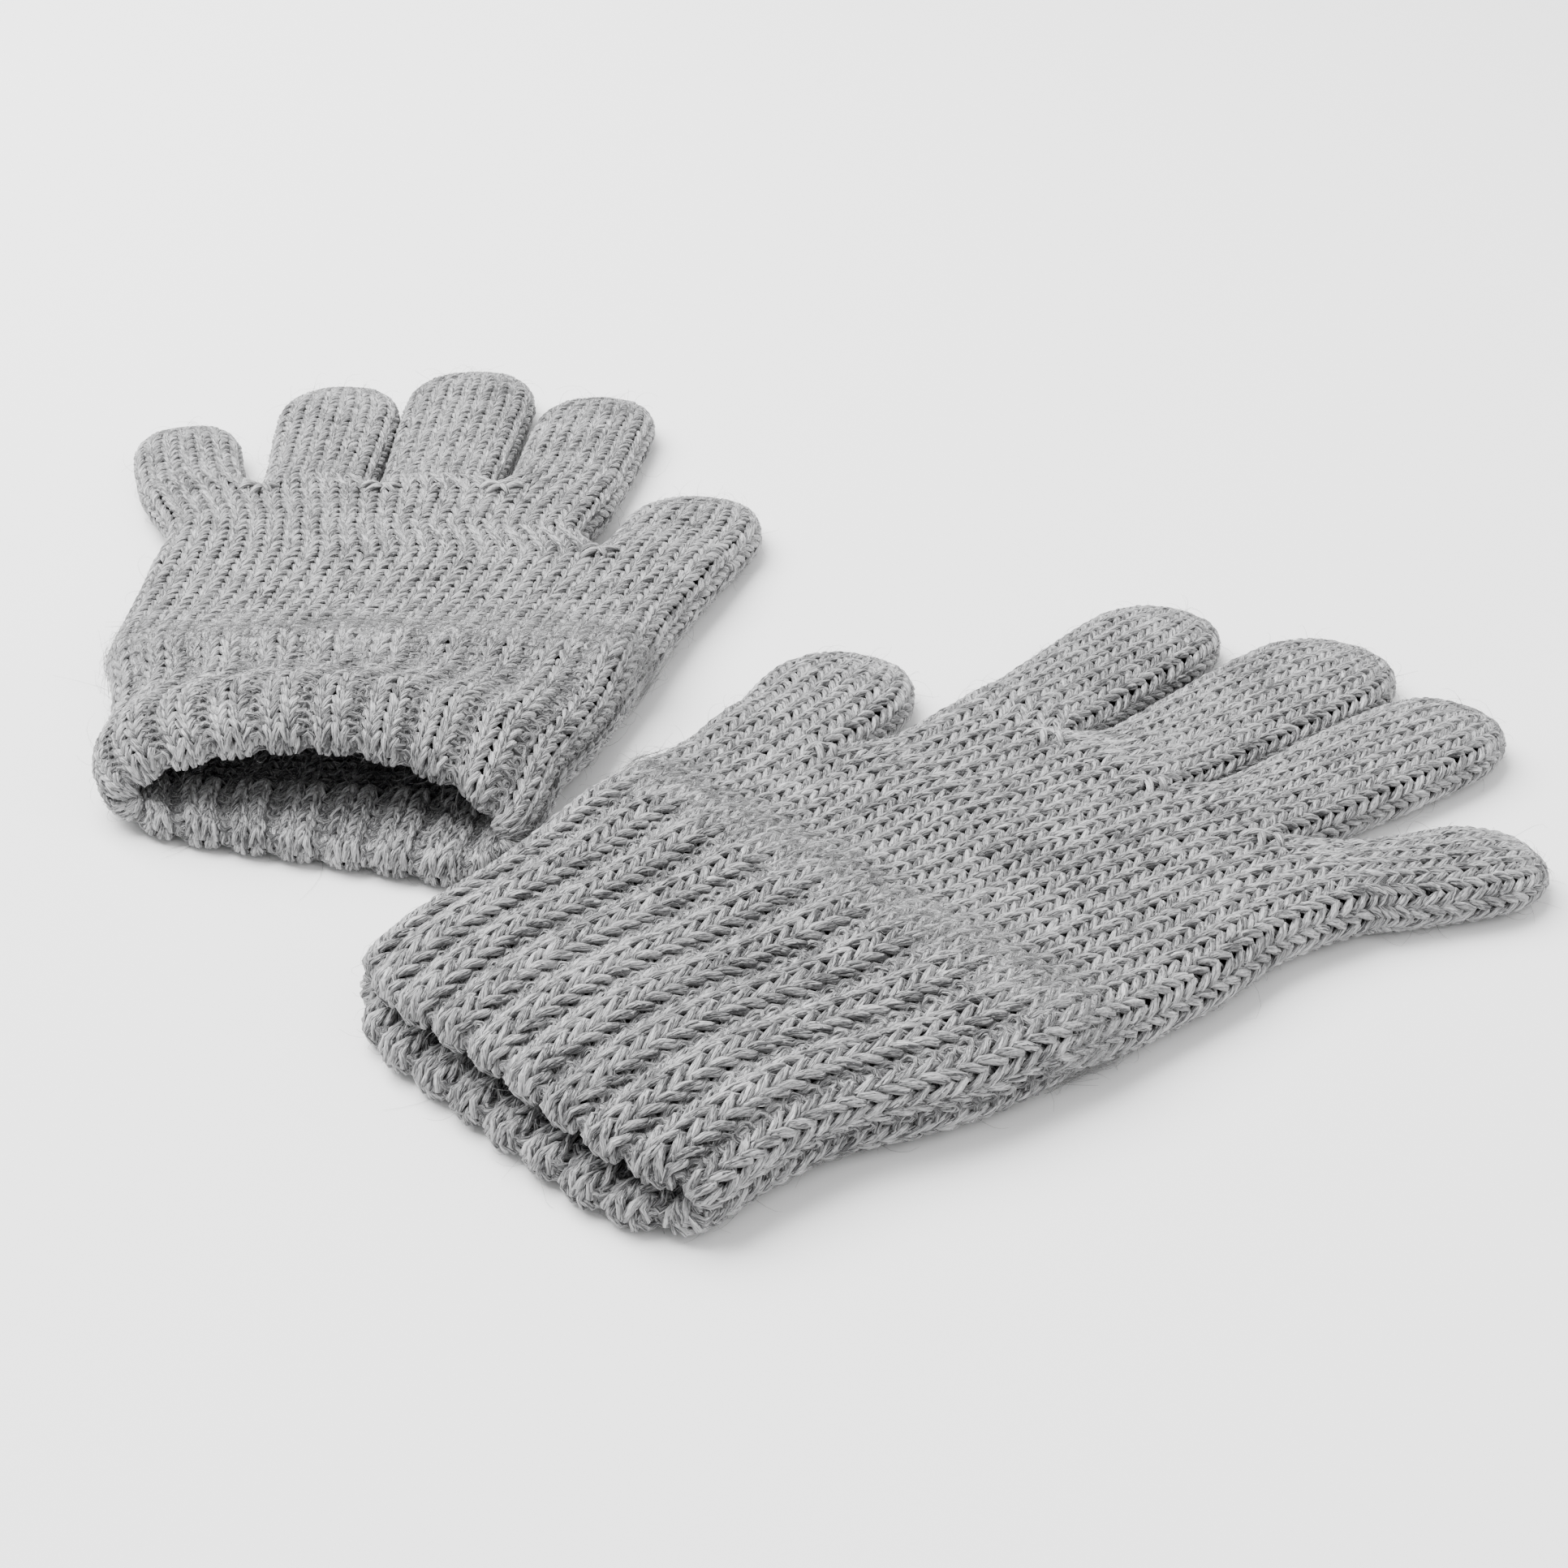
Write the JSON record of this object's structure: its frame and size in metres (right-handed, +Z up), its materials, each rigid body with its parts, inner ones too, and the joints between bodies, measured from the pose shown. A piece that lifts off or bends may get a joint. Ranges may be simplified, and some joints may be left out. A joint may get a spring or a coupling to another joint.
{
  "type": "knitted gloves",
  "caption": "Pair of soft knitted five-finger gloves with ribbed cuffs, lying flat; the fingers, thumbs and cuffs fold up over the top face.",
  "frame": {"origin": "on the table, under the middle of the pair's bounding box", "axes": "+Z up, -Y towards the viewer and the open cuff of the left glove, whose fingers point along +Y"},
  "size_m": [0.2435, 0.2762, 0.0225],
  "materials": {
    "plain_knit": "soft melange yarn, plain knit",
    "rib_knit": "soft melange yarn, rib knit",
    "turned_edge": "soft melange yarn, rounded cast-on edge",
    "closing_stitches": "soft melange yarn, linked and gathered stitches"
  },
  "bodies": {
    "left_palm": {"left_palm": "plain_knit", "left_hand": "plain_knit", "left_web_ring_little": "closing_stitches", "left_web_middle_ring": "closing_stitches", "left_web_index_middle": "closing_stitches", "left_web_thumb": "closing_stitches"},
    "left_cuff": {"left_cuff": "rib_knit", "left_cuff_edge": "turned_edge"},
    "left_little_root": {"left_little_root": "plain_knit"},
    "left_little_end": {"left_little_end": "plain_knit", "left_little_tip": "closing_stitches"},
    "left_ring_root": {"left_ring_root": "plain_knit"},
    "left_ring_end": {"left_ring_end": "plain_knit", "left_ring_tip": "closing_stitches"},
    "left_middle_root": {"left_middle_root": "plain_knit"},
    "left_middle_end": {"left_middle_end": "plain_knit", "left_middle_tip": "closing_stitches"},
    "left_index_root": {"left_index_root": "plain_knit"},
    "left_index_end": {"left_index_end": "plain_knit", "left_index_tip": "closing_stitches"},
    "left_thumb_root": {"left_thumb_root": "plain_knit"},
    "left_thumb_end": {"left_thumb_end": "plain_knit", "left_thumb_tip": "closing_stitches"},
    "right_palm": {"right_palm": "plain_knit", "right_hand": "plain_knit", "right_web_ring_little": "closing_stitches", "right_web_middle_ring": "closing_stitches", "right_web_index_middle": "closing_stitches", "right_web_thumb": "closing_stitches"},
    "right_cuff": {"right_cuff": "rib_knit", "right_cuff_edge": "turned_edge"},
    "right_little_root": {"right_little_root": "plain_knit"},
    "right_little_end": {"right_little_end": "plain_knit", "right_little_tip": "closing_stitches"},
    "right_ring_root": {"right_ring_root": "plain_knit"},
    "right_ring_end": {"right_ring_end": "plain_knit", "right_ring_tip": "closing_stitches"},
    "right_middle_root": {"right_middle_root": "plain_knit"},
    "right_middle_end": {"right_middle_end": "plain_knit", "right_middle_tip": "closing_stitches"},
    "right_index_root": {"right_index_root": "plain_knit"},
    "right_index_end": {"right_index_end": "plain_knit", "right_index_tip": "closing_stitches"},
    "right_thumb_root": {"right_thumb_root": "plain_knit"},
    "right_thumb_end": {"right_thumb_end": "plain_knit", "right_thumb_tip": "closing_stitches"}
  },
  "joints": [
    {"name": "left_wrist_fold", "type": "hinge", "parent": "left_palm", "child": "left_cuff", "pos_m": [-0.06835, 0.00843, 0.013], "axis": [-1, 0, 0], "range_deg": [0, 60]},
    {"name": "left_little_root_curl", "type": "hinge", "parent": "left_palm", "child": "left_little_root", "pos_m": [-0.10355, 0.0676, 0.0096], "axis": [1, 0, 0], "range_deg": [0, 90]},
    {"name": "left_little_end_curl", "type": "hinge", "parent": "left_little_root", "child": "left_little_end", "pos_m": [-0.10355, 0.08461, 0.0084], "axis": [1, 0, 0], "range_deg": [0, 90]},
    {"name": "left_ring_root_curl", "type": "hinge", "parent": "left_palm", "child": "left_ring_root", "pos_m": [-0.08235, 0.0676, 0.0096], "axis": [1, 0, 0], "range_deg": [0, 90]},
    {"name": "left_ring_end_curl", "type": "hinge", "parent": "left_ring_root", "child": "left_ring_end", "pos_m": [-0.08235, 0.09362, 0.0084], "axis": [1, 0, 0], "range_deg": [0, 90]},
    {"name": "left_middle_root_curl", "type": "hinge", "parent": "left_palm", "child": "left_middle_root", "pos_m": [-0.05995, 0.0676, 0.0096], "axis": [1, 0, 0], "range_deg": [0, 90]},
    {"name": "left_middle_end_curl", "type": "hinge", "parent": "left_middle_root", "child": "left_middle_end", "pos_m": [-0.05995, 0.0972, 0.0084], "axis": [1, 0, 0], "range_deg": [0, 90]},
    {"name": "left_index_root_curl", "type": "hinge", "parent": "left_palm", "child": "left_index_root", "pos_m": [-0.03635, 0.0676, 0.0096], "axis": [1, 0, 0], "range_deg": [0, 90]},
    {"name": "left_index_end_curl", "type": "hinge", "parent": "left_index_root", "child": "left_index_end", "pos_m": [-0.03635, 0.09092, 0.0084], "axis": [1, 0, 0], "range_deg": [0, 90]},
    {"name": "left_thumb_root_curl", "type": "hinge", "parent": "left_palm", "child": "left_thumb_root", "pos_m": [-0.01635, 0.0386, 0.0104], "axis": [1, 0, 0], "range_deg": [0, 70]},
    {"name": "left_thumb_end_curl", "type": "hinge", "parent": "left_thumb_root", "child": "left_thumb_end", "pos_m": [-0.01635, 0.05337, 0.0084], "axis": [1, 0, 0], "range_deg": [0, 90]},
    {"name": "right_wrist_fold", "type": "hinge", "parent": "right_palm", "child": "right_cuff", "pos_m": [0.01453, -0.06993, 0.013], "axis": [-0.6947, 0.7193, 0], "range_deg": [0, 60]},
    {"name": "right_little_root_curl", "type": "hinge", "parent": "right_palm", "child": "right_little_root", "pos_m": [0.08309, -0.06294, 0.0096], "axis": [0.6947, -0.7193, 0], "range_deg": [0, 90]},
    {"name": "right_little_end_curl", "type": "hinge", "parent": "right_little_root", "child": "right_little_end", "pos_m": [0.09281, -0.05355, 0.0084], "axis": [0.6947, -0.7193, 0], "range_deg": [0, 90]},
    {"name": "right_ring_root_curl", "type": "hinge", "parent": "right_palm", "child": "right_ring_root", "pos_m": [0.0692, -0.04855, 0.0096], "axis": [0.6947, -0.7193, 0], "range_deg": [0, 90]},
    {"name": "right_ring_end_curl", "type": "hinge", "parent": "right_ring_root", "child": "right_ring_end", "pos_m": [0.08811, -0.03029, 0.0084], "axis": [0.6947, -0.7193, 0], "range_deg": [0, 90]},
    {"name": "right_middle_root_curl", "type": "hinge", "parent": "right_palm", "child": "right_middle_root", "pos_m": [0.05516, -0.03402, 0.0096], "axis": [0.6947, -0.7193, 0], "range_deg": [0, 90]},
    {"name": "right_middle_end_curl", "type": "hinge", "parent": "right_middle_root", "child": "right_middle_end", "pos_m": [0.07555, -0.01434, 0.0084], "axis": [0.6947, -0.7193, 0], "range_deg": [0, 90]},
    {"name": "right_index_root_curl", "type": "hinge", "parent": "right_palm", "child": "right_index_root", "pos_m": [0.04044, -0.01877, 0.0096], "axis": [0.6947, -0.7193, 0], "range_deg": [0, 90]},
    {"name": "right_index_end_curl", "type": "hinge", "parent": "right_index_root", "child": "right_index_end", "pos_m": [0.05728, -0.00251, 0.0084], "axis": [0.6947, -0.7193, 0], "range_deg": [0, 90]},
    {"name": "right_thumb_root_curl", "type": "hinge", "parent": "right_palm", "child": "right_thumb_root", "pos_m": [0.00499, -0.02381, 0.0104], "axis": [0.6947, -0.7193, 0], "range_deg": [0, 70]},
    {"name": "right_thumb_end_curl", "type": "hinge", "parent": "right_thumb_root", "child": "right_thumb_end", "pos_m": [0.01556, -0.0136, 0.0084], "axis": [0.6947, -0.7193, 0], "range_deg": [0, 90]},
    {"name": "left_glove_lift", "type": "slide", "parent": "right_palm", "child": "left_palm", "axis": [0, 0, 1], "range_m": [0, 0.15]}
  ]
}
